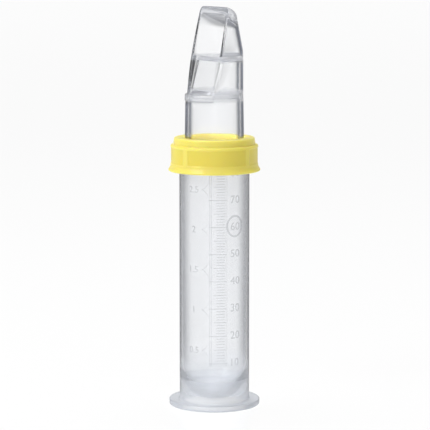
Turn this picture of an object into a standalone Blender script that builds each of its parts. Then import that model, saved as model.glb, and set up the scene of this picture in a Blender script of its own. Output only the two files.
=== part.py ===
"""Graduated oral feeder: a footed container, a screw collar, a spoon mouthpiece and its one-way valve.

Metres, +Z up. The origin is the bottom centre of the foot and the axis of the container is Z.
The open face of the spoon looks towards -Y.
"""

from math import acos, asin, cos, pi, radians, sin, sqrt, tan

import bmesh
import bpy
from mathutils import Vector

MM = 0.001
SEGMENTS = 54

# Container, all in millimetres
BARREL_R = 17.0
BORE_R_LOW, BORE_R_TOP = 15.35, 15.75
BOWL_Z_IN = 19.75
BOWL_R_OUT, BOWL_Z_OUT = 16.6, 18.75
SKIRT_R_IN, RECESS_Z = 15.95, 13.4
FOOT_R, FOOT_T = 22.1, 2.85
RIM_Z = 123.7

# Screw thread shared by the container neck and the collar, right-handed
LEAD = 4.0
THREAD_STEPS = 40
NECK_CREST_R, NECK_THREAD_Z, NECK_TURNS = 18.2, 116.5, 1.5
COLLAR_CREST_R, COLLAR_THREAD_Z, COLLAR_TURNS = 17.35, 117.2, 1.25

# Collar
COLLAR_Z, COLLAR_TOP_Z, PLATE_T = 114.9, 131.2, 3.5
COLLAR_BORE_R, COLLAR_HOLE_R = 18.65, 14.7
COLLAR_R, PANEL_DEPTH, CROWN_R, FLARE_R = 21.2, 0.25, 19.55, 22.25
SHOULDER_Z = 127.8
PANEL_Z = (118.6, 126.5)
RIB_ANGLE, RIB_WIDTH = 14.0, 2.3

# Valve
GAP = 0.3
DISC_R, DISC_T = 17.8, 1.8
DISC_Z = RIM_Z + GAP
HUB_R, OPENING_R, SPOKES, SPOKE_WIDTH, STEM_HOLE_R = 3.0, 7.5, 4, 2.4, 1.5
MEMBRANE_R, MEMBRANE_T, STEM_R, BULB_R = 8.2, 0.9, 1.15, 2.1

# Mouthpiece
FLANGE_Z = DISC_Z + DISC_T + GAP
FLANGE_TOP_Z = COLLAR_TOP_Z - PLATE_T - GAP
FLANGE_R = 17.6
TUBE_R_LOW, TUBE_R_MID, TUBE_R = 14.40, 14.06, 13.95
WALL, BORE_STEP, BORE_STEP_Z = 1.95, 0.25, 150.5
TUBE_MID_Z = 148.75
LEDGE_Z, LEDGE_TOP_Z, LEDGE_STEP = 149.25, 152.1, 0.35
SLOPE = tan(radians(11.6))
SLOPE_D, SLOPE_Z = 8.63, 151.2
PARTITION_Z, PARTITION_TOP_Z = 168.1, 170.3
SPOON_SIDE_Z, SIDE_TAPER = 167.2, 0.08
BACK_Z, BACK_TAPER_Z, BACK_R_END = 172.8, 188.1, 10.3
TIP_Z, TIP_CORNER_R = 194.0, 3.6
CEILING_Z, TROUGH_END_Z, TROUGH_CORNER_R = 183.5, 190.8, 2.6
TROUGH_BACK_T, RIM_WIDTH = 2.0, 1.9
SLIT_L, SLIT_W = 7.0, 0.4


def material(name, colour, roughness, alpha=1.0):
    """A Principled material with one plain colour."""
    mat = bpy.data.materials.new(name)
    mat.use_nodes = True
    node = mat.node_tree.nodes["Principled BSDF"]
    node.inputs["Base Color"].default_value = (*colour, 1.0)
    node.inputs["Roughness"].default_value = roughness
    node.inputs["Alpha"].default_value = alpha
    mat.diffuse_color = (*colour, alpha)
    return mat


def solid(name, points, faces, mat=None):
    """An object from points in millimetres, with its faces turned outwards."""
    mesh = bpy.data.meshes.new(name)
    mesh.from_pydata([Vector(p) * MM for p in points], [], faces)
    bm = bmesh.new()
    bm.from_mesh(mesh)
    bmesh.ops.remove_doubles(bm, verts=bm.verts, dist=1e-7)
    bmesh.ops.recalc_face_normals(bm, faces=bm.faces)
    bm.to_mesh(mesh)
    bm.free()
    if mat:
        mesh.materials.append(mat)
    obj = bpy.data.objects.new(name, mesh)
    bpy.context.scene.collection.objects.link(obj)
    return obj


def skin(rings, loop=False):
    """Points and faces over rings of equal length: open ends are capped, or the last joins the first."""
    count = len(rings[0])
    points = [p for ring in rings for p in ring]
    faces = []
    last = len(rings) if loop else len(rings) - 1
    for i in range(last):
        a, b = i * count, (i + 1) % len(rings) * count
        for j in range(count):
            k = (j + 1) % count
            faces.append((a + j, a + k, b + k, b + j))
    if not loop:
        faces.append(tuple(range(count)))
        faces.append(tuple(range((len(rings) - 1) * count, len(rings) * count)))
    return points, faces


def turned(name, profile, mat=None, segments=SEGMENTS):
    """A body turned about Z from a closed (r, z) outline. A point on the axis becomes one vertex."""
    points, faces, rows = [], [], []
    for r, z in profile:
        if r < 1e-6:
            rows.append([len(points)] * segments)
            points.append((0, 0, z))
        else:
            rows.append([len(points) + i for i in range(segments)])
            for i in range(segments):
                a = 2 * pi * i / segments
                points.append((r * cos(a), r * sin(a), z))
    for low, high in zip(rows, rows[1:] + rows[:1]):
        for i in range(segments):
            k = (i + 1) % segments
            corners = []
            for v in (low[i], low[k], high[k], high[i]):
                if v not in corners:
                    corners.append(v)
            if len(corners) > 2:
                faces.append(tuple(corners))
    return solid(name, points, faces, mat)


def arc(centre, radius, start, end, steps):
    """Points (r, z) on an arc, angles in degrees from the +r direction."""
    found = []
    for i in range(steps + 1):
        a = radians(start + (end - start) * i / steps)
        found.append((centre[0] + radius * cos(a), centre[1] + radius * sin(a)))
    return found


def thread(name, root_r, crest_r, start_z, phase_z, turns, half_root, half_crest):
    """A helical tooth whose height fades out at both ends. phase_z is the helix height at angle 0."""
    rings = []
    steps = int(THREAD_STEPS * turns)
    first = (start_z - phase_z) / LEAD * 2 * pi
    base_r = root_r + (0.45 if root_r > crest_r else -0.45)
    for i in range(steps + 1):
        a = first + 2 * pi * i / THREAD_STEPS
        z = phase_z + LEAD * a / (2 * pi)
        fade = min(1.0, 0.12 + i / 4.0, 0.12 + (steps - i) / 4.0)
        r = root_r + (crest_r - root_r) * fade
        outline = (
            (base_r, z - half_root), (r, z - half_crest), (r, z + half_crest), (base_r, z + half_root)
        )
        rings.append([(p * cos(a), p * sin(a), h) for p, h in outline])
    return solid(name, *skin(rings))


def combine(target, tool, operation):
    """Boolean target with tool, which stays in the scene as a hidden wire."""
    tool.hide_render = True
    tool.display_type = "WIRE"
    mod = target.modifiers.new(tool.name, "BOOLEAN")
    mod.operation = operation
    mod.solver = "EXACT"
    mod.object = tool


def smooth(obj, angle):
    """Shade smooth except where faces meet at more than this angle."""
    obj.data.shade_smooth()
    obj.data.set_sharp_from_angle(angle=radians(angle))


def make_container():
    bowl_r = sqrt(BOWL_R_OUT**2 - (BOWL_Z_OUT - RECESS_Z) ** 2)
    bowl_start = -180 / pi * asin((BOWL_Z_OUT - RECESS_Z) / BOWL_R_OUT)
    profile = [(SKIRT_R_IN + 0.35, 0.0), (FOOT_R - 0.8, 0.0)]
    profile += arc((FOOT_R - 0.7, 0.7), 0.7, -60, 0, 3)
    profile += arc((FOOT_R - 0.4, FOOT_T - 0.4), 0.4, 0, 90, 3)
    profile += arc((BARREL_R + 0.9, FOOT_T + 0.9), 0.9, 270, 180, 4)
    profile += [(BARREL_R, RIM_Z - 0.3), (BARREL_R - 0.3, RIM_Z)]
    profile += [(BORE_R_TOP + 0.15, RIM_Z), (BORE_R_TOP, RIM_Z - 0.15)]
    profile += arc((0, BOWL_Z_IN), BORE_R_LOW, 0, -90, 11)
    profile += arc((0, BOWL_Z_OUT), BOWL_R_OUT, -90, bowl_start, 9)
    profile += [(SKIRT_R_IN, RECESS_Z), (SKIRT_R_IN, 0.35)]
    for i, (r, z) in enumerate(profile):
        if abs(r) < 1e-6:
            profile[i] = (0.0, z)
    assert bowl_r < SKIRT_R_IN
    mat = material("container_plastic", (0.80, 0.82, 0.84), 0.25, 0.35)
    body = turned("container", profile, mat)
    tooth = thread(
        "neck_thread", BARREL_R, NECK_CREST_R, NECK_THREAD_Z, NECK_THREAD_Z, NECK_TURNS, 1.0, 0.45
    )
    combine(body, tooth, "UNION")
    smooth(body, 35)
    return body


def make_collar():
    flat_low, flat_high = PANEL_Z
    profile = [(COLLAR_BORE_R + 0.4, COLLAR_Z), (FLARE_R - 0.5, COLLAR_Z)]
    profile += arc((FLARE_R - 0.5, COLLAR_Z + 0.6), 0.5, -60, 30, 4)
    reach, rise = FLARE_R - COLLAR_R, flat_low - 0.2 - (COLLAR_Z + 0.85)
    for i in range(1, 5):
        t = i / 4
        profile.append((FLARE_R - 0.07 - (reach - 0.07) * sin(t * pi / 2), COLLAR_Z + 0.85 + rise * t))
    profile += arc((COLLAR_R - 0.5, SHOULDER_Z - 0.5), 0.5, 0, 90, 4)
    profile += arc((CROWN_R + 0.3, SHOULDER_Z + 0.3), 0.3, 270, 180, 2)
    profile += arc((CROWN_R - 0.7, COLLAR_TOP_Z - 0.7), 0.7, 0, 90, 4)
    profile += [(COLLAR_HOLE_R + 0.3, COLLAR_TOP_Z), (COLLAR_HOLE_R, COLLAR_TOP_Z - 0.3)]
    profile += [(COLLAR_HOLE_R, COLLAR_TOP_Z - PLATE_T), (COLLAR_BORE_R, COLLAR_TOP_Z - PLATE_T)]
    profile += [(COLLAR_BORE_R, COLLAR_Z + 0.4)]
    mat = material("collar_plastic", (0.93, 0.78, 0.16), 0.35)
    body = turned("screw_collar", profile, mat, 64)

    # Four shallow panels, cut between the ribs
    half_rib = RIB_WIDTH / 2 / COLLAR_R
    for n in range(4):
        first = radians(RIB_ANGLE + 90 * n) + half_rib
        span = pi / 2 - 2 * half_rib
        rings = []
        for i in range(15):
            a = first + span * i / 14
            inner, outer = COLLAR_R - PANEL_DEPTH, COLLAR_R + 2.0
            rings.append([
                (r * cos(a), r * sin(a), z)
                for r, z in ((inner, flat_low), (outer, flat_low - 0.6),
                             (outer, flat_high + 0.6), (inner, flat_high))
            ])
        combine(body, solid(f"panel_cutter_{n}", *skin(rings)), "DIFFERENCE")

    tooth = thread(
        "collar_thread", COLLAR_BORE_R, COLLAR_CREST_R, COLLAR_THREAD_Z,
        NECK_THREAD_Z + LEAD / 2, COLLAR_TURNS, 0.95, 0.42,
    )
    combine(body, tooth, "UNION")
    smooth(body, 35)
    return body


def make_disc():
    top = DISC_Z + DISC_T
    profile = [
        (STEM_HOLE_R, DISC_Z), (DISC_R - 0.2, DISC_Z), (DISC_R, DISC_Z + 0.2), (DISC_R, top - 0.2),
        (DISC_R - 0.2, top), (11.9, top), (11.9, top + 1.8), (11.7, top + 2.0), (11.0, top + 2.0),
        (10.8, top + 1.8), (10.8, top), (STEM_HOLE_R, top),
    ]
    body = turned("valve_disc", profile, material("disc_plastic", (0.90, 0.90, 0.88), 0.4), 48)
    # Flow openings between a small hub and the rim, parted by spokes
    for n in range(SPOKES):
        outline = []
        for r, steps in ((OPENING_R, 10), (HUB_R, -5)):
            first = 2 * pi * n / SPOKES + asin(SPOKE_WIDTH / 2 / r)
            span = 2 * pi / SPOKES - 2 * asin(SPOKE_WIDTH / 2 / r)
            turns = [first + span * i / abs(steps) for i in range(abs(steps) + 1)]
            outline += [(r * cos(a), r * sin(a)) for a in (turns if steps > 0 else reversed(turns))]
        rings = [[(x, y, z) for x, y in outline] for z in (DISC_Z - 1, top + 1)]
        combine(body, solid(f"flow_cutter_{n}", *skin(rings)), "DIFFERENCE")
    smooth(body, 35)
    return body


def make_membrane():
    low = DISC_Z + DISC_T + GAP
    neck = DISC_Z - 1.3
    profile = [(0.0, neck - 2.4), (0.7, neck - 2.3)]
    profile += [(BULB_R, neck - 0.4), (BULB_R, neck), (STEM_R, neck), (STEM_R, low)]
    profile += [(MEMBRANE_R - 0.2, low), (MEMBRANE_R, low + 0.25)]
    profile += [(MEMBRANE_R * 0.6, low + MEMBRANE_T - 0.2), (1.6, low + MEMBRANE_T), (0.0, low + MEMBRANE_T)]
    body = turned("valve_membrane", profile, material("membrane_silicone", (0.92, 0.90, 0.84), 0.5), 36)
    smooth(body, 35)
    return body


def tube_radius(z):
    """Outer radius of the reservoir, which narrows a little towards the ledge."""
    base = COLLAR_TOP_Z - PLATE_T
    if z < TUBE_MID_Z:
        return TUBE_R_LOW + (TUBE_R_MID - TUBE_R_LOW) * (z - base) / (TUBE_MID_Z - base)
    return max(TUBE_R, TUBE_R_MID - (z - TUBE_MID_Z) * 0.03)


def front_depth(z):
    """How far the slanted front plane lies in front of the axis."""
    return SLOPE_D - SLOPE * (z - SLOPE_Z)


def side_width(z):
    """Half-width of the spoon, whose top corners are round."""
    width = TUBE_R - SIDE_TAPER * max(0.0, z - SPOON_SIDE_Z)
    corner = TIP_Z + 0.1 - TIP_CORNER_R
    if z > corner:
        width = (
            TUBE_R - SIDE_TAPER * (corner - SPOON_SIDE_Z) - TIP_CORNER_R
            + sqrt(TIP_CORNER_R**2 - (z - corner) ** 2)
        )
    return width


def back_depth(z):
    """How far the back lies behind the axis: straight, then leaning in, then a round end."""
    if z <= BACK_Z:
        return tube_radius(z)
    if z <= BACK_TAPER_Z:
        return TUBE_R + (BACK_R_END - TUBE_R) * (z - BACK_Z) / (BACK_TAPER_Z - BACK_Z)
    return BACK_R_END * sqrt(max(0.0, 1 - ((z - BACK_TAPER_Z) / (TIP_Z - BACK_TAPER_Z)) ** 2))


def trough_size(z):
    """Half-width at the front plane and depth of the trough, whose ceiling slopes up to its front edge."""
    half = side_width(z) * sin(acos(front_depth(z) / TUBE_R)) - RIM_WIDTH
    corner = z - (TROUGH_END_Z - TROUGH_CORNER_R)
    if corner > 0:
        half += sqrt(max(0.0, TROUGH_CORNER_R**2 - corner**2)) - TROUGH_CORNER_R
    level = min(z, CEILING_Z)
    depth = back_depth(level) - TROUGH_BACK_T + front_depth(level)
    rise = max(0.0, z - CEILING_Z) / (TROUGH_END_Z - CEILING_Z)
    return half, depth * max(0.0, 1 - rise**1.4)


FRONT, ROUND, BACK = 12, 3, 40  # steps over the front, each front corner and the back


def angles(alpha, delta):
    """Angles from -Y around a section whose flat front ends at +-alpha."""
    found = [-(alpha - delta) + 2 * (alpha - delta) * i / FRONT for i in range(FRONT)]
    found += [alpha - delta + 2 * delta * i / ROUND for i in range(ROUND)]
    start, end = alpha + delta, 2 * pi - alpha - delta
    found += [start + (end - start) * i / BACK for i in range(BACK)]
    found += [end + 2 * delta * i / ROUND for i in range(ROUND)]
    return found


def full_ring(z, radius, step=0.0, alpha=0.9):
    """A round section. step makes its front, between +-alpha, stand proud."""
    ring = []
    for a in angles(alpha, 0.06):
        turn = abs((a + pi) % (2 * pi) - pi)
        r = radius + (step if turn <= alpha else 0.0)
        ring.append((r * sin(a), -r * cos(a), z))
    return ring


def flat_ring(z, width, front, back, depth, round_by=0.06):
    """A section with a flat front: an oval of half-width width cut by the line y = -depth."""
    def at(a):
        return (width * sin(a), -(front if cos(a) > 0 else back) * cos(a), z)

    alpha = acos(max(-1, min(1, depth / (front if depth > 0 else max(back, 1e-3)))))
    delta = round_by
    edge = width * sin(alpha)
    inset = edge - width * delta
    ring = []
    for i in range(FRONT):
        ring.append((-inset + 2 * inset * i / FRONT, -depth, z))
    end = at(alpha + delta)
    for i in range(ROUND):
        t = i / ROUND
        p = [(1 - t) ** 2 * inset + 2 * t * (1 - t) * edge + t * t * end[0],
             (1 - t) ** 2 * -depth + 2 * t * (1 - t) * -depth + t * t * end[1]]
        ring.append((p[0], p[1], z))
    start, stop = alpha + delta, 2 * pi - alpha - delta
    for i in range(BACK):
        ring.append(at(start + (stop - start) * i / BACK))
    for i in range(ROUND):
        t = 1 - i / ROUND
        p = [(1 - t) ** 2 * inset + 2 * t * (1 - t) * edge + t * t * end[0],
             (1 - t) ** 2 * -depth + 2 * t * (1 - t) * -depth + t * t * end[1]]
        ring.append((-p[0], p[1], z))
    return ring


def make_mouthpiece():
    ledge_alpha = acos(front_depth(LEDGE_TOP_Z) / TUBE_R)
    rings = []
    # Reservoir cavity, from under the partition down to the open base
    cavity = [PARTITION_Z - 7.0 * i / 2 for i in range(4)] + [LEDGE_TOP_Z + 1.0]
    for z in cavity:
        r = tube_radius(z) - WALL
        bevel = 0.16 + 0.28 * (z - LEDGE_TOP_Z) / (PARTITION_Z - LEDGE_TOP_Z)
        rings.append(flat_ring(z, r, r, r, front_depth(z) - WALL, bevel))
    rings.append(full_ring(BORE_STEP_Z + 0.2, tube_radius(BORE_STEP_Z) - WALL, 0.0, ledge_alpha))
    for z in (BORE_STEP_Z - 0.1, 141.0, FLANGE_TOP_Z + 1.0, FLANGE_Z + 0.3):
        rings.append(full_ring(z, tube_radius(z) - WALL + BORE_STEP, 0.0, ledge_alpha))
    rings.append(full_ring(FLANGE_Z, tube_radius(FLANGE_Z) - WALL + 0.5, 0.0, ledge_alpha))
    # Clamping flange
    for r, z in ((FLANGE_R - 0.3, FLANGE_Z), (FLANGE_R, FLANGE_Z + 0.3), (FLANGE_R, FLANGE_TOP_Z - 0.3),
                 (FLANGE_R - 0.3, FLANGE_TOP_Z), (TUBE_R_LOW + 0.25, FLANGE_TOP_Z),
                 (TUBE_R_LOW, FLANGE_TOP_Z + 0.25)):
        rings.append(full_ring(z, r, 0.0, ledge_alpha))
    # Tube and ledge
    for z in (COLLAR_TOP_Z, 140.0, TUBE_MID_Z):
        rings.append(full_ring(z, tube_radius(z), 0.0, ledge_alpha))
    rings.append(full_ring(LEDGE_Z, tube_radius(LEDGE_Z), LEDGE_STEP, ledge_alpha))
    rings.append(full_ring(LEDGE_TOP_Z - 0.3, tube_radius(LEDGE_TOP_Z), LEDGE_STEP, ledge_alpha))
    rings.append(full_ring(LEDGE_TOP_Z, tube_radius(LEDGE_TOP_Z), LEDGE_STEP - 0.3, ledge_alpha))
    # Slanted front and hood
    heights = [LEDGE_TOP_Z + 0.02, 156.0, 161.0, 165.0, SPOON_SIDE_Z, 170.0, BACK_Z, 176.0, 180.0, 184.0]
    for a in (0, 12, 24, 36, 48, 58, 67, 74):
        heights.append(BACK_TAPER_Z + (TIP_Z - BACK_TAPER_Z) * sin(radians(a)))
    for z in heights:
        rings.append(flat_ring(z, side_width(z), TUBE_R, back_depth(z), front_depth(z)))
    body = solid("mouthpiece", *skin(rings), material("silicone", (0.86, 0.88, 0.90), 0.2, 0.35))

    # Spoon trough
    rings = []
    span = TROUGH_END_Z - PARTITION_TOP_Z
    for k in range(16):
        z = PARTITION_TOP_Z + span * sin(radians(6.0 * k))
        width, depth = trough_size(z)
        depth = max(0.05, depth)
        y = -front_depth(z)
        ring = [(-width, y - 4.0, z), (width, y - 4.0, z)]
        for i in range(25):
            a = pi * i / 24
            reach = (abs(cos(a)) ** 2.6 + sin(a) ** 2.6) ** (-1 / 2.6)
            ring.append((width * reach * cos(a), y + depth * reach * sin(a), z))
        rings.append(ring)
    combine(body, solid("trough_cutter", *skin(rings)), "DIFFERENCE")

    corners = ((-1, -1), (1, -1), (1, 1), (-1, 1))
    slit = []
    for z in (PARTITION_Z - 1, PARTITION_TOP_Z + 1):
        slit.append([(x * SLIT_L / 2, y * SLIT_W / 2, z) for x, y in corners])
    combine(body, solid("slit_cutter", *skin(slit)), "DIFFERENCE")
    smooth(body, 35)
    return body


for old in list(bpy.data.objects):
    bpy.data.objects.remove(old, do_unlink=True)
make_container()
make_collar()
make_disc()
make_membrane()
make_mouthpiece()
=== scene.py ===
"""Looks of the graduated oral feeder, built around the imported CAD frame.

Metres, +Z up. The container stands on z = 0 with its axis on Z, and the open face of the spoon looks
towards -Y. Lengths below are in millimetres and are scaled as each mesh is made.
"""

from math import acos, asin, cos, pi, radians, sin, sqrt, tan

import bmesh
import bpy
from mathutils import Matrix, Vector


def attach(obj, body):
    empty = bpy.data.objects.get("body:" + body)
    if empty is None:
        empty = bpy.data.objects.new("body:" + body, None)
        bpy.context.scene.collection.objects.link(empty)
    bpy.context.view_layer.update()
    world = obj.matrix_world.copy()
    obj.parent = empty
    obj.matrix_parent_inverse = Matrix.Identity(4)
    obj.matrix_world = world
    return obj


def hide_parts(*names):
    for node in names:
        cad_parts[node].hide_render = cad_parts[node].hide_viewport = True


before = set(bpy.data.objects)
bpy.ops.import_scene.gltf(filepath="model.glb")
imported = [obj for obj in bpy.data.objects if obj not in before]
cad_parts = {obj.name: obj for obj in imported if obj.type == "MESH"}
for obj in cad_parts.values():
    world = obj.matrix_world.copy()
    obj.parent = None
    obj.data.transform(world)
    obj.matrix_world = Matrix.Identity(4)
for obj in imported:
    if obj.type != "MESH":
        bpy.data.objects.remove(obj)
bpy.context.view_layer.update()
MM = 0.001

# ---------------------------------------------------------------- camera
CAM_AZIMUTH = radians(55)
CAM_DISTANCE, CAM_HEIGHT = 1.06, 0.24
CAM_TARGET_Z, CAM_SIDE = 0.0931, 0.00030
CAM_FOCAL_PX = 2206.0
FRAME_PX = 430

camera = bpy.data.objects.new("camera", bpy.data.cameras.new("camera"))
bpy.context.scene.collection.objects.link(camera)
bpy.context.scene.camera = camera
right = Vector((cos(CAM_AZIMUTH), sin(CAM_AZIMUTH), 0))
towards = Vector((sin(CAM_AZIMUTH), -cos(CAM_AZIMUTH), 0))
target = right * CAM_SIDE + Vector((0, 0, CAM_TARGET_Z))
camera.location = towards * CAM_DISTANCE + right * CAM_SIDE + Vector((0, 0, CAM_HEIGHT))
camera.rotation_euler = (target - camera.location).to_track_quat("-Z", "Y").to_euler()
camera.data.sensor_width = 36
camera.data.lens = 36 * CAM_FOCAL_PX / FRAME_PX
camera.data.clip_start, camera.data.clip_end = 0.02, 60

# ---------------------------------------------------------------- sizes, in millimetres
BARREL_R, BORE_R_LOW, BORE_R_TOP = 17.0, 15.35, 15.75
BOWL_Z_IN, BOWL_R_OUT, BOWL_Z_OUT = 19.75, 16.6, 18.75
SKIRT_R_IN, RECESS_Z = 15.95, 13.4
FOOT_R, FOOT_T, RIM_Z = 22.1, 2.85, 123.7
LEAD = 4.0
NECK_START = 114.6
NECK_CREST_R, NECK_THREAD_Z, NECK_TURNS = 18.2, 116.5, 1.5
COLLAR_CREST_R, COLLAR_THREAD_Z, COLLAR_TURNS = 17.35, 117.2, 1.25
TOOTH_HALF_ROOT, NECK_HALF_CREST, COLLAR_HALF_CREST = 0.75, 0.45, 0.42
COLLAR_Z, COLLAR_TOP_Z, PLATE_T = 114.9, 131.2, 3.5
COLLAR_BORE_R, COLLAR_HOLE_R = 18.65, 14.7
COLLAR_R, PANEL_DEPTH, CROWN_R, FLARE_R = 21.2, 0.25, 19.55, 22.25
CROWN_DRAFT, SHOULDER_Z, PANEL_Z = 0.30, 127.8, (118.6, 126.5)
RIB_ANGLE, RIB_WIDTH = 14.0, 2.3
FLANGE_Z, FLANGE_TOP_Z, FLANGE_R = 126.1, 127.4, 17.6
TUBE_R_LOW, TUBE_R_MID, TUBE_R, WALL = 14.40, 14.06, 13.95, 1.95
TUBE_MID_Z, BORE_STEP, BORE_STEP_Z = 148.75, 0.25, 150.5
LEDGE_Z, LEDGE_TOP_Z, LEDGE_STEP = 149.25, 152.1, 0.35
# The slanted front plane: its slope, and how far it lies in front of the axis at one height
SLOPE, SLOPE_D, SLOPE_Z = tan(radians(11.6)), 8.63, 151.2
PARTITION_Z, PARTITION_TOP_Z = 168.1, 170.3
SPOON_SIDE_Z, SIDE_TAPER = 167.2, 0.08
BACK_Z, BACK_TAPER_Z, BACK_R_END = 172.8, 188.1, 10.3
TIP_Z, TIP_CORNER_R = 194.0, 3.6
CEILING_Z, TROUGH_END_Z, TROUGH_CORNER_R = 183.5, 190.8, 2.6
TROUGH_BACK_T, RIM_WIDTH = 2.0, 1.9
TROUGH_SQUARENESS, EDGE_ROUND = 2.6, 0.35
# Heights where the reservoir, the tube and the slanted front get a section of their own
RESERVOIR_HEIGHTS = (167.8, 166.0, 163.0, 160.0, 157.0, 154.8)
BORE_HEIGHTS = (147.0, 142.0, 137.0, 132.0)
TUBE_HEIGHTS = (129.0, 132.5, 137.0, 142.0, 146.0)
FRONT_HEIGHTS = (152.6, 154.4, 157.0, 160.0, 163.0, 166.0, 168.2, 169.7)


# ---------------------------------------------------------------- mesh helpers
def make(name, points, faces, mat, smooth_angle):
    """A shown piece from points in millimetres, with outward faces and shading split at hard edges."""
    mesh = bpy.data.meshes.new(name)
    mesh.from_pydata([Vector(p) * MM for p in points], [], faces)
    bm = bmesh.new()
    bm.from_mesh(mesh)
    bmesh.ops.remove_doubles(bm, verts=bm.verts, dist=1e-7)
    bmesh.ops.recalc_face_normals(bm, faces=bm.faces)
    bm.to_mesh(mesh)
    bm.free()
    mesh.materials.append(mat)
    mesh.shade_smooth()
    mesh.set_sharp_from_angle(angle=radians(smooth_angle))
    obj = bpy.data.objects.new(name, mesh)
    bpy.context.scene.collection.objects.link(obj)
    return obj


def skin(rings, closed=False):
    """Points and faces over rings of equal length. The ends are capped, or the last joins the first."""
    count = len(rings[0])
    points = [p for ring in rings for p in ring]
    faces = []
    for i in range(len(rings) if closed else len(rings) - 1):
        a, b = i * count, (i + 1) % len(rings) * count
        faces += [(a + j, a + (j + 1) % count, b + (j + 1) % count, b + j) for j in range(count)]
    if not closed:
        faces += [tuple(range(count)), tuple(range(len(points) - count, len(points)))]
    return points, faces


def arc(centre, radius, start, end, steps):
    """Points (r, z) on an arc, angles in degrees from the +r direction."""
    turns = [radians(start + (end - start) * i / steps) for i in range(steps + 1)]
    return [(centre[0] + radius * cos(a), centre[1] + radius * sin(a)) for a in turns]


def line(a, b, steps):
    """Points from a to b, without b."""
    return [(a[0] + (b[0] - a[0]) * i / steps, a[1] + (b[1] - a[1]) * i / steps) for i in range(steps)]


def step(low, high, x):
    """0 below low, 1 above high, with a soft ramp between."""
    t = min(1.0, max(0.0, (x - low) / (high - low)))
    return t * t * (3 - 2 * t)


def thread_height(angle, z, phase_z, start_z, turns, half_crest):
    """0 to 1: how much of the tooth's height stands at this place. The helix passes phase_z at angle 0."""
    best = 0.0
    for k in range(-3, 5):
        turn = angle / (2 * pi) + k
        along = phase_z + LEAD * turn - start_z
        fade = step(-0.35, 0.25, along) * (1 - step(LEAD * turns - 0.25, LEAD * turns + 0.35, along))
        off = abs(z - phase_z - LEAD * turn)
        best = max(best, fade * (1 - step(half_crest - 0.1, TOOTH_HALF_ROOT + 0.1, off)))
    return best


# ---------------------------------------------------------------- shader helpers
class Nodes:
    """A material's node tree with short calls to add and link nodes."""

    def __init__(self, name):
        self.mat = bpy.data.materials.new(name)
        self.mat.use_nodes = True
        self.tree = self.mat.node_tree
        self.tree.nodes.clear()
        self.out = self.add("ShaderNodeOutputMaterial")
        self.coord = self.add("ShaderNodeTexCoord")

    def add(self, kind, **settings):
        node = self.tree.nodes.new(kind)
        for key, value in settings.items():
            setattr(node, key, value)
        return node

    def put(self, node, **values):
        """Sets sockets by name: a value is stored, a socket is linked."""
        for key, value in values.items():
            socket = node.inputs[key.replace("_", " ")]
            if isinstance(value, bpy.types.NodeSocket):
                self.tree.links.new(value, socket)
            else:
                socket.default_value = value
        return node

    def noise(self, scale, detail, stretch=(1, 1, 1)):
        mapping = self.add("ShaderNodeMapping")
        mapping.inputs["Scale"].default_value = stretch
        self.tree.links.new(self.coord.outputs["Object"], mapping.inputs["Vector"])
        node = self.add("ShaderNodeTexNoise")
        self.put(node, Vector=mapping.outputs["Vector"], Scale=scale, Detail=detail)
        return node.outputs["Fac"]

    def spread(self, value, low, high, start=0.0, end=1.0):
        """Maps start..end to low..high, held at both ends."""
        node = self.add("ShaderNodeMapRange")
        self.put(node, Value=value)
        for socket, number in zip(node.inputs[1:5], (start, end, low, high)):
            socket.default_value = number
        return node.outputs["Result"]

    def bump(self, height, strength, distance):
        node = self.add("ShaderNodeBump")
        self.put(node, Height=height, Strength=strength, Distance=distance)
        return node.outputs["Normal"]

    def mix(self, factor, a, b):
        node = self.add("ShaderNodeMix", data_type="RGBA")
        for socket, value in zip((node.inputs[0], node.inputs[6], node.inputs[7]), (factor, a, b)):
            if isinstance(value, bpy.types.NodeSocket):
                self.tree.links.new(value, socket)
            else:
                socket.default_value = value
        return node.outputs[2]

    def blend(self, factor, a, b):
        """A mix of two shader nodes: 0 gives a, 1 gives b."""
        node = self.add("ShaderNodeMixShader")
        self.put(node, Fac=factor)
        self.tree.links.new(a.outputs[0], node.inputs[1])
        self.tree.links.new(b.outputs[0], node.inputs[2])
        return node

    def finish(self, shader):
        self.tree.links.new(shader.outputs[0], self.out.inputs["Surface"])
        return self.mat


MOST_HAZE, HAZY_EDGE = 0.34, 0.4  # where the added haze is the most, the dark edge keeps this share


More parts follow.
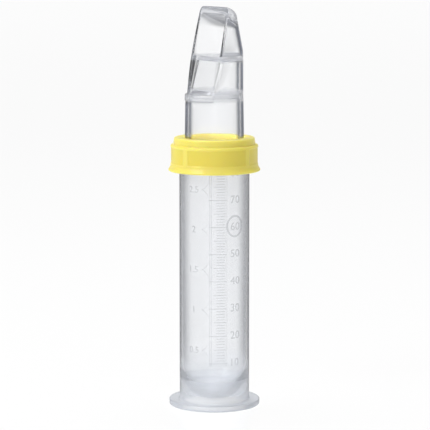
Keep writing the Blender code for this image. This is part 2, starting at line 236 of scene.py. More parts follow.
def clear_material(name, tint, edge, band, ior, rough, haze, milk, thick):
    """Clear moulded plastic or silicone: glass with a little milky haze, its colour darkened at glancing
    edges as painted shade.

    band is the part of the facing weight over which tint turns into edge, the colour of the painted edge
    shade. thick lists heights with the haze that is added there, where the walls are thick. The haze also
    softens the painted dark edges.
    """
    n = Nodes(name)
    # Haze by height
    place = n.add("ShaderNodeSeparateXYZ")
    n.tree.links.new(n.coord.outputs["Object"], place.inputs[0])
    extra = n.add("ShaderNodeValToRGB")
    n.tree.links.new(n.spread(place.outputs[2], 0.0, 1.0, 0.0, TIP_Z * MM), extra.inputs[0])
    points = extra.color_ramp.elements
    points.remove(points[-1])
    for index, (z, more) in enumerate(thick):
        point = points[0] if index == 0 else points.new(z / TIP_Z)
        point.position, point.color = z / TIP_Z, (more, more, more, 1)
    # Painted shade: the colour darkens at glancing angles, for the dark edges of the clear walls
    facing = n.add("ShaderNodeLayerWeight")
    n.put(facing, Blend=0.5)
    painted_edge_shade = n.add("ShaderNodeMath", operation="MULTIPLY")
    n.tree.links.new(n.spread(facing.outputs["Facing"], 0.0, 1.0, *band), painted_edge_shade.inputs[0])
    n.tree.links.new(n.spread(extra.outputs[0], 1.0, HAZY_EDGE, 0.0, MOST_HAZE), painted_edge_shade.inputs[1])
    colour = n.mix(painted_edge_shade.outputs[0], (*tint, 1), (*edge, 1))
    # Clear body and milky film, both with faint ripples
    patches = n.noise(60, 3, (1, 1, 0.5))
    ripple = n.bump(n.noise(220, 2, (1, 1, 0.15)), 0.04, 0.0002)
    body = n.add("ShaderNodeBsdfPrincipled")
    n.put(
        body, Base_Color=colour, IOR=ior, Transmission_Weight=1.0,
        Roughness=n.spread(patches, rough * 0.7, rough * 1.4, 0.3, 0.7), Normal=ripple,
    )
    film = n.add("ShaderNodeBsdfPrincipled")
    n.put(film, Base_Color=(*milk, 1), Roughness=0.5, Normal=ripple)
    total = n.add("ShaderNodeMath", operation="ADD")
    n.tree.links.new(n.spread(patches, haze * 0.8, haze * 1.2, 0.3, 0.7), total.inputs[0])
    n.tree.links.new(extra.outputs[0], total.inputs[1])
    return n.finish(n.blend(total.outputs[0], body, film))


def yellow_material(name):
    """Yellow moulded plastic with a fine eggshell surface. Light gets a little way into it.

    The recessed panels are coloured a painted shade deeper than the ribs and the crown, which carry a painted
    highlight, and the wall of the hole has a faint painted glow.
    """
    n = Nodes(name)
    clouds = n.noise(90, 4)
    grain = n.noise(2600, 2)
    # Distance from the collar's axis tells the panels, the crown and the hole's wall apart
    flat = n.add("ShaderNodeMapping")
    flat.inputs["Scale"].default_value = (1, 1, 0)
    n.tree.links.new(n.coord.outputs["Object"], flat.inputs["Vector"])
    radius = n.add("ShaderNodeVectorMath", operation="LENGTH")
    n.tree.links.new(flat.outputs["Vector"], radius.inputs[0])
    out = radius.outputs["Value"]
    # Painted highlight on the ribs and the crown, painted shade on the recessed panels between them
    proud = n.spread(out, 0.0, 1.0, (COLLAR_R - PANEL_DEPTH + 0.03) * MM, (COLLAR_R - 0.04) * MM)
    crown = n.spread(out, 1.0, 0.0, (CROWN_R + 0.2) * MM, (CROWN_R + 0.6) * MM)
    # Painted glow: the hole's wall emits a faint yellow light of its own
    glow = n.spread(out, 0.42, 0.0, (COLLAR_HOLE_R + 0.15) * MM, (COLLAR_HOLE_R + 0.5) * MM)
    light = n.add("ShaderNodeMath", operation="MAXIMUM")
    n.tree.links.new(proud, light.inputs[0])
    n.tree.links.new(crown, light.inputs[1])
    # The panels' deeper yellow is painted shade, the lighter yellow on the ribs and the crown a painted
    # highlight
    panel = n.mix(clouds, (0.875, 0.71, 0.115, 1), (0.91, 0.75, 0.14, 1))
    body = n.add("ShaderNodeBsdfPrincipled")
    n.put(
        body, Base_Color=n.mix(light.outputs[0], panel, (0.96, 0.79, 0.175, 1)),
        Roughness=n.spread(clouds, 0.30, 0.42, 0.3, 0.7), Normal=n.bump(grain, 0.12, 0.00004),
        Subsurface_Weight=0.7, Subsurface_Radius=(1.0, 0.8, 0.2), Subsurface_Scale=0.004,
        # The emission is a painted glow on the hole's wall
        Emission_Color=(1.0, 0.80, 0.17, 1), Emission_Strength=glow,
    )
    return n.finish(body)


def opaque_material(name, low, high, rough):
    """White moulded plastic or silicone with slight clouding and a fine grain."""
    n = Nodes(name)
    clouds = n.noise(160, 4)
    grain = n.noise(3000, 2)
    body = n.add("ShaderNodeBsdfPrincipled")
    n.put(
        body, Base_Color=n.mix(clouds, (*low, 1), (*high, 1)),
        Roughness=n.spread(clouds, rough * 0.85, rough * 1.15, 0.3, 0.7), Normal=n.bump(grain, 0.15, 0.00004),
    )
    return n.finish(body)


def frosted_material(name, colour, cover):
    """Raised frosted marks: part of the light passes and the rest scatters off a fine grain."""
    n = Nodes(name)
    grain = n.noise(2400, 3)
    body = n.add("ShaderNodeBsdfPrincipled")
    n.put(
        body, Base_Color=(*colour, 1), Roughness=n.spread(grain, 0.45, 0.7),
        Normal=n.bump(grain, 0.3, 0.00005),
    )
    gap = n.add("ShaderNodeBsdfTransparent")
    return n.finish(n.blend(n.spread(grain, cover * 0.85, cover * 1.15, 0.3, 0.7), gap, body))


# edge is the colour of the painted shade at the glancing edges
clear_plastic = clear_material(
    "clear_polypropylene", tint=(0.975, 0.98, 0.987), edge=(0.010, 0.014, 0.045), band=(0.28, 0.86),
    ior=1.45, rough=0.10, haze=0.07, milk=(0.76, 0.79, 0.84),
    # The foot, the skirt and the bowl
    thick=((0, 0.32), (4, 0.28), (9, 0.15), (15, 0.13), (21, 0.10), (25, 0)),
)
clear_silicone = clear_material(
    "clear_silicone", tint=(0.99, 0.994, 1.0), edge=(0.020, 0.026, 0.050), band=(0.42, 0.60),
    ior=1.41, rough=0.09, haze=0.025, milk=(0.60, 0.62, 0.67),
    # The ledge, the partition and the tip
    thick=(
        (148.4, 0), (149.4, 0.25), (153.4, 0.25), (154.6, 0), (167.4, 0), (168.3, 0.30), (170.1, 0.30),
        (170.8, 0), (184, 0), (189, 0.24), (192, MOST_HAZE), (194, MOST_HAZE),
    ),
)
yellow_plastic = yellow_material("yellow_plastic")
white_plastic = opaque_material("white_plastic", (0.78, 0.79, 0.78), (0.86, 0.87, 0.86), 0.38)
milky_silicone = opaque_material("milky_silicone", (0.80, 0.79, 0.74), (0.88, 0.87, 0.83), 0.5)
MARK_GREY = (0.45, 0.46, 0.50)
mark_plastic = frosted_material("frosted_marks", MARK_GREY, 0.22)
tick_plastic = frosted_material("frosted_ticks", MARK_GREY, 0.15)
panel_plastic = frosted_material("frosted_panel", (0.62, 0.63, 0.66), 0.07)


# ---------------------------------------------------------------- container
BOWL_END = -89.2  # the bowl's arcs stop here, and a small disc closes each
CONTAINER_SIDES = 160


def make_container():
    """The barrel with its foot, skirt, round bowl and threaded neck."""
    # Out from the middle of the bowl's underside, down the skirt and under the foot
    low_end = -180 / pi * asin((BOWL_Z_OUT - RECESS_Z) / BOWL_R_OUT)
    profile = arc((0, BOWL_Z_OUT), BOWL_R_OUT, BOWL_END, low_end, 36)
    profile += arc((SKIRT_R_IN - 0.14, RECESS_Z - 0.05), 0.14, 120, 0, 4)
    profile += line((SKIRT_R_IN, RECESS_Z - 1), (SKIRT_R_IN, 0.5), 4)
    profile += arc((SKIRT_R_IN + 0.45, 0.45), 0.45, 180, 260, 4)
    profile += [(SKIRT_R_IN + 0.45, 0.0), (SKIRT_R_IN + 1.5, 0.0), (FOOT_R - 1.2, 0.0)]
    # Round the foot, up the barrel and the neck, and down the bore to the bowl's floor
    profile += arc((FOOT_R - 0.8, 0.8), 0.8, -80, 0, 6)
    profile += arc((FOOT_R - 0.5, FOOT_T - 0.5), 0.5, 0, 90, 6)
    profile += [(FOOT_R - 2.2, FOOT_T)]
    profile += arc((BARREL_R + 0.9, FOOT_T + 0.9), 0.9, 270, 180, 6)
    profile += line((BARREL_R, FOOT_T + 2), (BARREL_R, NECK_START), 6)
    profile += line((BARREL_R, NECK_START), (BARREL_R, RIM_Z - 0.3), 64)
    profile += arc((BARREL_R - 0.3, RIM_Z - 0.3), 0.3, 0, 90, 4)
    profile += arc((BORE_R_TOP + 0.25, RIM_Z - 0.25), 0.25, 90, 180, 3)
    profile += line((BORE_R_TOP, RIM_Z - 1), (BORE_R_LOW, BOWL_Z_IN + 1), 5)
    profile += arc((0, BOWL_Z_IN), BORE_R_LOW, 0, BOWL_END, 40)

    rings = []
    for r, z in profile:
        ring = []
        for i in range(CONTAINER_SIDES):
            a = 2 * pi * i / CONTAINER_SIDES
            q = r
            if NECK_START < z < RIM_Z and r > BARREL_R - 0.01:
                q += (NECK_CREST_R - BARREL_R) * thread_height(
                    a, z, NECK_THREAD_Z, NECK_THREAD_Z, NECK_TURNS, NECK_HALF_CREST
                )
            ring.append((q * cos(a), q * sin(a), z))
        rings.append(ring)
    obj = make("container_body", *skin(rings), clear_plastic, 40)
    obj.visible_shadow = False
    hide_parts("container")
    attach(obj, "container")


# ---------------------------------------------------------------- graduation
SCALE_ANGLE = -41.4  # degrees from +X to the scale's centre line
SCALE_TOP_Z, LOW_ML, HIGH_ML, RINGED_ML = COLLAR_Z + 3, 10, 80, 60
HALF_OUNCE_ML, HALF_OUNCES = 14.787, 5
MARK_IN, MARK_OUT = -0.05, 0.16  # a mark's inner and outer face, from the barrel's surface
ML_AT, ML_HEIGHT, ML_LIFT = 12.5, 3.9, 0.3
OUNCE_AT, OUNCE_HEIGHT = -8.6, 3.3
CAP_HEIGHT = 0.729  # a numeral's height in Blender's own font at size 1
# From s to s and half-thickness of the ticks at each 10, 5 and 1 ml
TICK_10, TICK_5, TICK_1 = (-1.0, 7.9, 0.20), (1.6, 7.4, 0.18), (2.9, 6.9, 0.17)
RAIL_STARTS, RAIL_WIDTH = (-0.62, 0.22), 0.32
CHEVRON_AT, CHEVRON_REACH, CHEVRON_BEND, CHEVRON_HALF, CHEVRON_STEPS = -4.3, 3.6, 1.7, 0.16, 8
RING_HALF_S, RING_HALF_Z, RING_WIDTH, RING_STEPS = 3.75, 4.5, 0.85, 56
NUMERAL_MIDDLE, NUMERAL_HALF_T = 0.06, 0.09  # a numeral's mid-plane off the barrel, half its thickness
BOWL_VOLUME = 2 / 3 * pi * BORE_R_LOW**3


def volume(z):
    """Millilitres below the level z."""
    span, height = RIM_Z - BOWL_Z_IN, z - BOWL_Z_IN
    grow = (BORE_R_TOP - BORE_R_LOW) / span
    r0 = BORE_R_LOW
    return (BOWL_VOLUME + pi * (r0 * r0 * height + r0 * grow * height**2 + grow**2 * height**3 / 3)) / 1000


def level(millilitres):
    """The height of a level, found by halving."""
    low, high = BOWL_Z_IN, RIM_Z
    for _ in range(40):
        middle = (low + high) / 2
        low, high = (middle, high) if volume(middle) < millilitres else (low, middle)
    return low


def wrapped(s, z, r):
    """A place on the barrel, s millimetres round from the scale's centre line."""
    a = radians(SCALE_ANGLE) + s / BARREL_R
    return (r * cos(a), r * sin(a), z)


def bar_section(s, low, high):
    """The four corners of a raised bar's section at s, from the height low to high."""
    return [
        wrapped(s, low, BARREL_R + MARK_IN), wrapped(s, low, BARREL_R + MARK_OUT),
        wrapped(s, high, BARREL_R + MARK_OUT), wrapped(s, high, BARREL_R + MARK_IN),
    ]


def bar(low, high, steps):
    """Points and faces of a raised bar between two (s, z) corners on the barrel."""
    return skin([
        bar_section(low[0] + (high[0] - low[0]) * i / steps, low[1], high[1]) for i in range(steps + 1)
    ])


def chevron(z, side):
    """One arm of the pointed mark at an ounce level. side 1 rises to the right and -1 falls."""
    rings = []
    for i in range(CHEVRON_STEPS + 1):
        t = i / CHEVRON_STEPS
        middle = z + side * CHEVRON_REACH * t**CHEVRON_BEND
        s = CHEVRON_AT + CHEVRON_REACH * t
        rings.append(bar_section(s, middle - CHEVRON_HALF, middle + CHEVRON_HALF))
    return skin(rings)


def joined(shapes):
    """Points and faces of several shapes as one."""
    points, faces = [], []
    for p, f in shapes:
        base = len(points)
        points += p
        faces += [tuple(base + i for i in face) for face in f]
    return points, faces


def numeral(text, s, z, height):
    """Points and faces of a raised numeral centred at (s, z) on the barrel."""
    curve = bpy.data.curves.new("numeral", "FONT")
    curve.body = text
    curve.size = height / CAP_HEIGHT * MM
    curve.extrude = NUMERAL_HALF_T * MM
    curve.resolution_u = 3
    curve.space_character = 1.02
    obj = bpy.data.objects.new("numeral", curve)
    bpy.context.scene.collection.objects.link(obj)
    graph = bpy.context.evaluated_depsgraph_get()
    mesh = bpy.data.meshes.new_from_object(obj.evaluated_get(graph))
    places = [v.co / MM for v in mesh.vertices]
    middle = (min(p.x for p in places) + max(p.x for p in places)) / 2
    base = (min(p.y for p in places) + max(p.y for p in places)) / 2
    mid_r = BARREL_R + NUMERAL_MIDDLE
    points = [wrapped(s + p.x - middle, z + p.y - base, mid_r + p.z) for p in places]
    faces = [tuple(f.vertices) for f in mesh.polygons]
    bpy.data.objects.remove(obj)
    bpy.data.meshes.remove(mesh)
    bpy.data.curves.remove(curve)
    return points, faces


def ring_mark(s, z):
    """The raised oval around one numeral."""
    section = ((MARK_IN, 0), (MARK_OUT, 0), (MARK_OUT, RING_WIDTH), (MARK_IN, RING_WIDTH))
    rings = []
    for i in range(RING_STEPS):
        a = 2 * pi * i / RING_STEPS
        rings.append([
            wrapped(s + (RING_HALF_S + grow) * cos(a), z + (RING_HALF_Z + grow) * sin(a), BARREL_R + r)
            for r, grow in section
        ])
    return skin(rings, closed=True)


def raised(name, shapes, mat):
    """One shown piece of marks on the barrel."""
    obj = make(name, *joined(shapes), mat, 30)
    obj.visible_shadow = False
    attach(obj, "container")


def make_graduation():
    """The raised scale: ticks between two rails, millilitres to their right and ounces to their left."""
    ticks = []
    for ml in range(LOW_ML, HIGH_ML + 1):
        z = level(ml)
        start, end, half = TICK_10 if ml % 10 == 0 else TICK_5 if ml % 5 == 0 else TICK_1
        if z < SCALE_TOP_Z:
            ticks.append(bar((start, z - half), (end, z + half), int((end - start) / 0.8) + 1))
    scale_low = level(LOW_ML - 1)
    for s in RAIL_STARTS:
        ticks.append(bar((s, scale_low), (s + RAIL_WIDTH, SCALE_TOP_Z), 1))
    for count in range(1, HALF_OUNCES + 1):
        ticks += [chevron(level(HALF_OUNCE_ML * count), side) for side in (-1, 1)]
    raised("graduation_ticks", ticks, tick_plastic)

    numbers = [
        numeral(str(ml), ML_AT, level(ml) + ML_LIFT, ML_HEIGHT) for ml in range(LOW_ML, HIGH_ML + 1, 10)
    ]
    numbers.append(ring_mark(ML_AT - 0.2, level(RINGED_ML) + ML_LIFT))
    for count in range(1, HALF_OUNCES + 1):
        numbers.append(numeral("%g" % (count / 2), OUNCE_AT, level(HALF_OUNCE_ML * count), OUNCE_HEIGHT))
    raised("graduation_numbers", numbers, mark_plastic)

    # A thin frosted strip under the ticks
    left, width, across, up, thick = -0.3, 8.6, 11, 24, 0.05
    panel = []
    for i in range(up + 1):
        z = scale_low + (SCALE_TOP_Z - scale_low) * i / up
        places = [left + width * k / across for k in range(across + 1)]
        ring = [wrapped(s, z, BARREL_R + thick) for s in places]
        ring += [wrapped(s, z, BARREL_R - thick) for s in reversed(places)]
        panel.append(ring)
    raised("graduation_panel", [skin(panel)], panel_plastic)


# ---------------------------------------------------------------- collar
def make_collar():
    """The screw collar: a flared skirt, recessed panels between four ribs, a stepped crown and its thread."""
    flat_low, flat_high = PANEL_Z
    profile = [(COLLAR_BORE_R + 0.5, COLLAR_Z), (FLARE_R - 0.6, COLLAR_Z)]
    profile += arc((FLARE_R - 0.55, COLLAR_Z + 0.6), 0.55, -70, 30, 7)
    reach, rise = FLARE_R - COLLAR_R, flat_low - 0.35 - (COLLAR_Z + 0.9)
    for i in range(1, 11):
        t = i / 10
        profile.append((FLARE_R - 0.08 - (reach - 0.08) * sin(t * pi / 2), COLLAR_Z + 0.9 + rise * t))
    profile += line((COLLAR_R, flat_low - 0.2), (COLLAR_R, flat_low + 0.9), 6)
    profile += line((COLLAR_R, flat_low + 0.9), (COLLAR_R, flat_high - 0.9), 8)
    profile += line((COLLAR_R, flat_high - 0.9), (COLLAR_R, flat_high + 0.4), 6)
    profile += arc((COLLAR_R - 0.95, SHOULDER_Z - 0.95), 0.95, 0, 90, 8)
    profile += arc((CROWN_R + 0.30 + CROWN_DRAFT, SHOULDER_Z + 0.30), 0.30, 270, 180, 4)
    profile += arc((CROWN_R - 0.9, COLLAR_TOP_Z - 0.9), 0.9, 0, 90, 9)
    profile += arc((COLLAR_HOLE_R + 0.4, COLLAR_TOP_Z - 0.4), 0.4, 90, 180, 4)
    profile += arc((COLLAR_HOLE_R + 0.15, COLLAR_TOP_Z - PLATE_T + 0.15), 0.15, 180, 270, 2)
    profile += [(COLLAR_BORE_R - 0.3, COLLAR_TOP_Z - PLATE_T)]
    profile += arc((COLLAR_BORE_R - 0.3, COLLAR_TOP_Z - PLATE_T - 0.3), 0.3, 60, 0, 2)
    profile += line((COLLAR_BORE_R, COLLAR_TOP_Z - PLATE_T - 1), (COLLAR_BORE_R, COLLAR_Z + 0.6), 72)
    profile += arc((COLLAR_BORE_R + 0.5, COLLAR_Z + 0.5), 0.5, 180, 250, 3)

    # Angles of the sections: close together over each rib, wider over the panels
    half_rib, edge = RIB_WIDTH / 2, 0.28
    turns = []
    for n in range(4):
        centre = radians(RIB_ANGLE + 90 * n)
        for s in [-half_rib - edge + k * (2 * half_rib + 2 * edge) / 12 for k in range(13)]:
            turns.append(centre + s / COLLAR_R)
        start = centre + (half_rib + edge) / COLLAR_R
        end = centre + pi / 2 - (half_rib + edge) / COLLAR_R
        turns += [start + (end - start) * i / 30 for i in range(1, 30)]

    def rib_distance(a):
        """Millimetres round to the nearest rib's centre line."""
        off = (a - radians(RIB_ANGLE)) % (pi / 2)
        return min(off, pi / 2 - off) * COLLAR_R

    rings = []
    for r, z in profile:
        ring = []
        for a in turns:
            q = r
            if r > COLLAR_R - 0.05:
                mask = step(half_rib - 0.02, half_rib + edge, rib_distance(a))
                mask *= step(flat_low - 0.1, flat_low + 0.5, z)
                mask *= 1 - step(flat_high - 0.5, flat_high + 0.1, z)
                q -= PANEL_DEPTH * mask
            if r <= COLLAR_BORE_R + 0.01 and COLLAR_Z + 0.8 < z < COLLAR_TOP_Z - PLATE_T - 1:
                q -= (COLLAR_BORE_R - COLLAR_CREST_R) * thread_height(
                    a, z, NECK_THREAD_Z + LEAD / 2, COLLAR_THREAD_Z, COLLAR_TURNS, COLLAR_HALF_CREST
                )
            ring.append((q * cos(a), q * sin(a), z))
        rings.append(ring)
    obj = make("collar_body", *skin(rings, closed=True), yellow_plastic, 45)
    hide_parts("screw_collar")
    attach(obj, "collar")


# ---------------------------------------------------------------- mouthpiece
FRONT, CORNER, BACK = 48, 5, 96  # points over the front, each front corner and the back
RIM_POINTS, EDGE_POINTS = 4, 5  # of the front's points, those over the trough's flat rim and its rounded edge
ROUND_TURN, FLAT_TURN = 0.03, 0.035  # half a front corner's angle, on a round and on a flat-fronted section
SPOON_RINGS, SPOON_TURN = 27, 3.38  # sections up the trough, closer near its end, as steps of a sine
TIP_TURNS = (32, 38, 44, 50, 55, 60, 65, 69, 72, 75)


def tube_radius(z):
    """Outer radius of the reservoir, which narrows a little towards the ledge."""
    base = COLLAR_TOP_Z - PLATE_T
    if z < TUBE_MID_Z:
        return TUBE_R_LOW + (TUBE_R_MID - TUBE_R_LOW) * (z - base) / (TUBE_MID_Z - base)
    return max(TUBE_R, TUBE_R_MID - (z - TUBE_MID_Z) * 0.03)


def front_depth(z):
    """How far the slanted front plane lies in front of the axis."""
    return SLOPE_D - SLOPE * (z - SLOPE_Z)


def side_width(z):
    """Half-width of the spoon, whose top corners are round."""
    corner = TIP_Z + 0.1 - TIP_CORNER_R
    if z <= corner:
        return TUBE_R - SIDE_TAPER * max(0.0, z - SPOON_SIDE_Z)
    narrow = TUBE_R - SIDE_TAPER * (corner - SPOON_SIDE_Z) - TIP_CORNER_R
    return narrow + sqrt(TIP_CORNER_R**2 - (z - corner) ** 2)


def back_depth(z):
    """How far the back lies behind the axis: straight, then leaning in, then a round end."""
    if z <= BACK_Z:
        return tube_radius(z)
    if z <= BACK_TAPER_Z:
        return TUBE_R + (BACK_R_END - TUBE_R) * (z - BACK_Z) / (BACK_TAPER_Z - BACK_Z)
    return BACK_R_END * sqrt(max(0.0, 1 - ((z - BACK_TAPER_Z) / (TIP_Z - BACK_TAPER_Z)) ** 2))


def section_angles(alpha, delta):
    """Angles from -Y around a section whose flat front ends at +-alpha."""
    inner = alpha - delta
    found = [-inner + 2 * inner * i / FRONT for i in range(FRONT)]
    found += [inner + 2 * delta * i / CORNER for i in range(CORNER)]
    start, end = alpha + delta, 2 * pi - alpha - delta
    found += [start + (end - start) * i / BACK for i in range(BACK)]
    found += [end + 2 * delta * i / CORNER for i in range(CORNER)]
    return found


def full_ring(z, radius, stand, alpha):
    """A round section. stand makes its front, between +-alpha, stand proud."""
    ring = []
    for a in section_angles(alpha, ROUND_TURN):
        turn = abs((a + pi) % (2 * pi) - pi)
        r = radius + stand * (1 - step(alpha - 0.02, alpha + 0.035, turn))
        ring.append((r * sin(a), -r * cos(a), z))
    return ring


def corner_curve(inset, edge, depth, end):
    """The rounded corner between the flat front and the round side."""
    found = []
    for i in range(CORNER):
        t = i / CORNER
        found.append((
            (1 - t) ** 2 * inset + 2 * t * (1 - t) * edge + t * t * end[0],
            -(1 - t * t) * depth + t * t * end[1],
        ))
    return found


def trough_front(inset, half, deep, depth):
    """Points over a front that is hollowed out: the flat rims, their rounded edges and the trough."""
    round_by = min(EDGE_ROUND, deep * 0.4)
    middle, wall = FRONT // 2, RIM_POINTS + EDGE_POINTS
    points = []
    for i in range(FRONT):
        k = min(i, FRONT - i)
        if k < RIM_POINTS:
            s, y = inset + (half + round_by - inset) * k / RIM_POINTS, 0.0
        elif k < wall:
            t = (k - RIM_POINTS) / EDGE_POINTS
            s, y = half + round_by * (1 - t) ** 2, round_by * t * t
        else:
            a = pi / 2 * (k - wall) / (middle - wall)
            reach = (cos(a) ** TROUGH_SQUARENESS + sin(a) ** TROUGH_SQUARENESS) ** (-1 / TROUGH_SQUARENESS)
            s, y = half * reach * cos(a), max(round_by, deep * reach * sin(a))
        points.append((-s if i <= middle else s, y - depth))
    return points


def flat_ring(z, width, front, back, depth, delta=FLAT_TURN, trough=None):
    """A section with a flat front at y = -depth, which the trough (half-width, depth) may hollow out."""
    def at(a):
        return (width * sin(a), -(front if cos(a) > 0 else back) * cos(a))

    alpha = acos(max(-1, min(1, depth / (front if depth > 0 else max(back, 1e-3)))))
    edge = width * sin(alpha)
    inset = edge - width * delta
    if trough:
        points = trough_front(inset, *trough, depth)
    else:
        points = [(-inset + 2 * inset * i / FRONT, -depth) for i in range(FRONT)]
    curve = corner_curve(inset, edge, depth, at(alpha + delta))
    points += curve
    start, stop = alpha + delta, 2 * pi - alpha - delta
    points += [at(start + (stop - start) * i / BACK) for i in range(BACK)]
    points.append(at(stop))
    points += [(-x, y) for x, y in reversed(curve[1:])]
    return [(x, y, z) for x, y in points]


def trough_size(z):
    """Half-width at the front plane and depth of the trough, whose ceiling slopes up to its front edge."""
    half = side_width(z) * sin(acos(front_depth(z) / TUBE_R)) - RIM_WIDTH
    corner = z - (TROUGH_END_Z - TROUGH_CORNER_R)
    if corner > 0:
        half += sqrt(max(0.0, TROUGH_CORNER_R**2 - corner**2)) - TROUGH_CORNER_R
    below = min(z, CEILING_Z)
    depth = back_depth(below) - TROUGH_BACK_T + front_depth(below)
    rise = max(0.0, z - CEILING_Z) / (TROUGH_END_Z - CEILING_Z)
    return half, depth * max(0.0, 1 - rise**1.4)


def make_mouthpiece():
    """One skin: down the reservoir's inside, round the flange, and up the outside to the tip."""
    alpha = acos(front_depth(LEDGE_TOP_Z) / TUBE_R)
    rings = []
    # Reservoir, from the partition's underside down to the open base
    for z in (PARTITION_Z, *RESERVOIR_HEIGHTS, LEDGE_TOP_Z + 1.2):
        r = tube_radius(z) - WALL
        # The bore's end is rounded, and its inner corners round off more towards it
        soft = 0.35 if z == PARTITION_Z else 0.0
        bevel = 0.16 + 0.28 * (z - LEDGE_TOP_Z) / (PARTITION_Z - LEDGE_TOP_Z)
        rings.append(flat_ring(z, r - soft, r, r - soft, front_depth(z) - WALL - soft, bevel))
    for z in (LEDGE_TOP_Z - 0.6, BORE_STEP_Z + 0.2):
        rings.append(full_ring(z, tube_radius(z) - WALL, 0, alpha))
    for z in (BORE_STEP_Z - 0.1, *BORE_HEIGHTS, FLANGE_TOP_Z + 0.5, FLANGE_Z + 0.5):
        rings.append(full_ring(z, tube_radius(z) - WALL + BORE_STEP, 0, alpha))
    r = tube_radius(FLANGE_Z) - WALL + BORE_STEP
    rings += [full_ring(FLANGE_Z + 0.12, r + 0.12, 0, alpha), full_ring(FLANGE_Z, r + 0.4, 0, alpha)]
    # Clamping flange
    rim = arc((FLANGE_R - 0.35, FLANGE_Z + 0.35), 0.35, -90, 0, 4)
    rim += arc((FLANGE_R - 0.35, FLANGE_TOP_Z - 0.35), 0.35, 0, 90, 4)
    rim += arc((TUBE_R_LOW + 0.25, FLANGE_TOP_Z + 0.25), 0.25, 270, 180, 3)
    rings += [full_ring(z, r, 0, alpha) for r, z in rim]
    # Tube and ledge
    for z in (*TUBE_HEIGHTS, TUBE_MID_Z - 0.1):
        rings.append(full_ring(z, tube_radius(z), 0, alpha))
    ledge = (
        (TUBE_MID_Z + 0.2, 0.10), (LEDGE_Z, 0.32), (LEDGE_Z + 0.3, LEDGE_STEP), (150.7, LEDGE_STEP),
        (LEDGE_TOP_Z - 0.35, LEDGE_STEP), (LEDGE_TOP_Z - 0.1, 0.22), (LEDGE_TOP_Z, 0.0),
    )
    for z, stand in ledge:
        rings.append(full_ring(z, tube_radius(z), stand, alpha))
    # Slanted front up to the partition's top
    foot = LEDGE_TOP_Z + 0.02
    for z in (foot, *FRONT_HEIGHTS, PARTITION_TOP_Z - 0.02):
        extra = 0.3 if z == foot else 0.0
        rings.append(flat_ring(z, side_width(z), TUBE_R, back_depth(z), front_depth(z) + extra))
    # Spoon with its trough
    span = TROUGH_END_Z - PARTITION_TOP_Z
    for k in range(SPOON_RINGS):
        z = PARTITION_TOP_Z + span * sin(radians(SPOON_TURN * k))
        half, deep = trough_size(z)
        if k == 0:  # a small round where the trough meets the partition
            half, deep = half - 0.3, deep - 0.3
        rings.append(flat_ring(z, side_width(z), TUBE_R, back_depth(z), front_depth(z), trough=(half, deep)))
    # Closed tip
    rise = TIP_Z - BACK_TAPER_Z
    for a in TIP_TURNS:
        z = BACK_TAPER_Z + rise * sin(radians(a))
        rings.append(flat_ring(z, side_width(z), TUBE_R, back_depth(z), front_depth(z)))
    obj = make("mouthpiece_body", *skin(rings), clear_silicone, 38)
    obj.visible_shadow = False
    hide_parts("mouthpiece")
    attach(obj, "head")


make_container()
make_graduation()
make_collar()
make_mouthpiece()
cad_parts["valve_disc"].material_slots[0].material = white_plastic
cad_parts["valve_membrane"].material_slots[0].material = milky_silicone


# ---------------------------------------------------------------- stage and light
FLOOR_HALF, FLOOR_DROP = 9.0, 0.0002
FLOOR_GLOW, FLOOR_MATTE, FLOOR_GLOSS = 0.97, 0.18, 0.25
# Angle from +X, grey level: bright behind and in front, darker side walls
ROOM_TURNS = (
    (0, 0.45), (30, 0.30), (62, 0.40), (92, 1.0), (190, 1.0), (225, 0.70), (262, 0.45), (298, 0.45),
    (320, 1.0), (342, 0.45),
)
# Elevation, grey level
ROOM_HEIGHTS = ((-60, 0.8), (-14, 1.0), (-3, 1.0), (6, 0.45), (30, 0.5), (50, 1.2), (90, 1.4))
# The white backdrop's middle, and how the cards beside it darken with the angle away from it
BACKDROP_TURN = 145
CARD_TURNS = ((4, 0), (9, 0.18), (14, 0.33), (18, 0.46), (25, 0.60), (30, 0.60), (36, 0.30), (48, 0))
CARD_HEIGHTS = ((-14, 0), (-12, 1), (-4.8, 1), (-3.5, 0))
LIGHT_AIM_Z = 0.1


def make_floor():
    """A glowing white sheet that the clear parts do not see, with a faint soft reflection."""
    mesh = bpy.data.meshes.new("floor")
    corners = [(x * FLOOR_HALF, y * FLOOR_HALF, 0) for x, y in ((-1, -1), (1, -1), (1, 1), (-1, 1))]
    mesh.from_pydata(corners, [], [(0, 1, 2, 3)])
    n = Nodes("floor")
    glow = n.add("ShaderNodeEmission")
    n.put(glow, Color=(1, 1, 1, 1), Strength=FLOOR_GLOW)
    matte = n.add("ShaderNodeBsdfDiffuse")
    n.put(matte, Color=(FLOOR_MATTE, FLOOR_MATTE, FLOOR_MATTE, 1))
    both = n.add("ShaderNodeAddShader")
    n.tree.links.new(glow.outputs[0], both.inputs[0])
    n.tree.links.new(matte.outputs[0], both.inputs[1])
    gloss = n.add("ShaderNodeBsdfGlossy")
    n.put(gloss, Color=(1, 1, 1, 1), Roughness=0.12)
    mesh.materials.append(n.finish(n.blend(FLOOR_GLOSS, both, gloss)))
    obj = bpy.data.objects.new("floor", mesh)
    bpy.context.scene.collection.objects.link(obj)
    obj.location.z = -FLOOR_DROP
    obj.visible_transmission = False
    obj.visible_glossy = False


def area(name, place, size, power):
    """A white rectangular light at place, aimed at the middle of the object."""
    light = bpy.data.lights.new(name, "AREA")
    light.shape = "RECTANGLE"
    light.size, light.size_y = size
    light.energy = power
    obj = bpy.data.objects.new(name, light)
    bpy.context.scene.collection.objects.link(obj)
    obj.location = place
    obj.rotation_euler = (Vector((0, 0, LIGHT_AIM_Z)) - place).to_track_quat("-Z", "Y").to_euler()


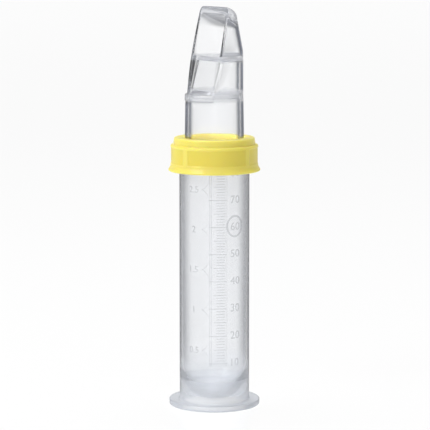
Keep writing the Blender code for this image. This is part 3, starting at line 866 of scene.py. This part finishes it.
def make_world():
    """A room round the stage with darker side walls, set by the direction looked in, seen as plain white."""
    world = bpy.data.worlds.new("room")
    bpy.context.scene.world = world
    world.use_nodes = True
    tree = world.node_tree
    tree.nodes.clear()

    def node(kind, *values, **settings):
        """A new node. Values go into its sockets in order: a socket is linked, a number is stored."""
        found = tree.nodes.new(kind)
        for key, value in settings.items():
            setattr(found, key, value)
        for socket, value in zip(found.inputs, values):
            if isinstance(value, bpy.types.NodeSocket):
                tree.links.new(value, socket)
            else:
                socket.default_value = value
        return found

    def ramp(factor, stops):
        """A grey ramp with a stop for each (place, grey level)."""
        found = node("ShaderNodeValToRGB", factor)
        points = found.color_ramp.elements
        points.remove(points[-1])
        for index, (place, grey) in enumerate(stops):
            point = points[0] if index == 0 else points.new(place)
            point.position, point.color = place, (grey, grey, grey, 1)
        return found.outputs[0]

    def turns(stops):
        return [(a / 360, grey) for a, grey in stops]

    def heights(stops):
        return [((sin(radians(a)) + 1) / 2, grey) for a, grey in stops]

    coord = node("ShaderNodeTexCoord")
    xyz = node("ShaderNodeSeparateXYZ", coord.outputs["Generated"]).outputs
    turn = node("ShaderNodeMath", xyz[1], xyz[0], operation="ARCTAN2").outputs[0]
    turn = node("ShaderNodeMath", turn, 2 * pi, operation="DIVIDE").outputs[0]
    turn = node("ShaderNodeMath", turn, operation="FRACT").outputs[0]
    around = ramp(turn, turns(ROOM_TURNS))
    height = node("ShaderNodeMapRange", xyz[2], -1.0, 1.0, 0.0, 1.0).outputs[0]
    up = ramp(height, heights(ROOM_HEIGHTS))
    off = node("ShaderNodeMath", turn, BACKDROP_TURN / 360, operation="SUBTRACT").outputs[0]
    off = node("ShaderNodeMath", off, operation="ABSOLUTE").outputs[0]
    card = ramp(off, turns(CARD_TURNS))
    low = ramp(height, heights(CARD_HEIGHTS))
    shade = node("ShaderNodeMath", card, low, operation="MULTIPLY").outputs[0]
    shade = node("ShaderNodeMath", 1.0, shade, operation="SUBTRACT").outputs[0]
    both = node("ShaderNodeVectorMath", around, up, operation="MULTIPLY").outputs[0]
    both = node("ShaderNodeVectorMath", both, operation="SCALE")
    tree.links.new(shade, both.inputs["Scale"])
    room = node("ShaderNodeBackground", both.outputs[0], 1.0)
    white = node("ShaderNodeBackground", (1, 1, 1, 1), 1.0)
    seen = node("ShaderNodeLightPath").outputs["Is Camera Ray"]
    shown = node("ShaderNodeMixShader", seen, room.outputs[0], white.outputs[0])
    out = node("ShaderNodeOutputWorld")
    tree.links.new(shown.outputs[0], out.inputs[0])


make_floor()
make_world()
area("key", right * -0.9 + towards * 0.75 + Vector((0, 0, 0.95)), (0.5, 0.8), 8.4)
area("top", right * -0.1 + towards * -0.2 + Vector((0, 0, 1.3)), (0.9, 0.9), 5.0)
bpy.context.scene.view_settings.view_transform = "Standard"
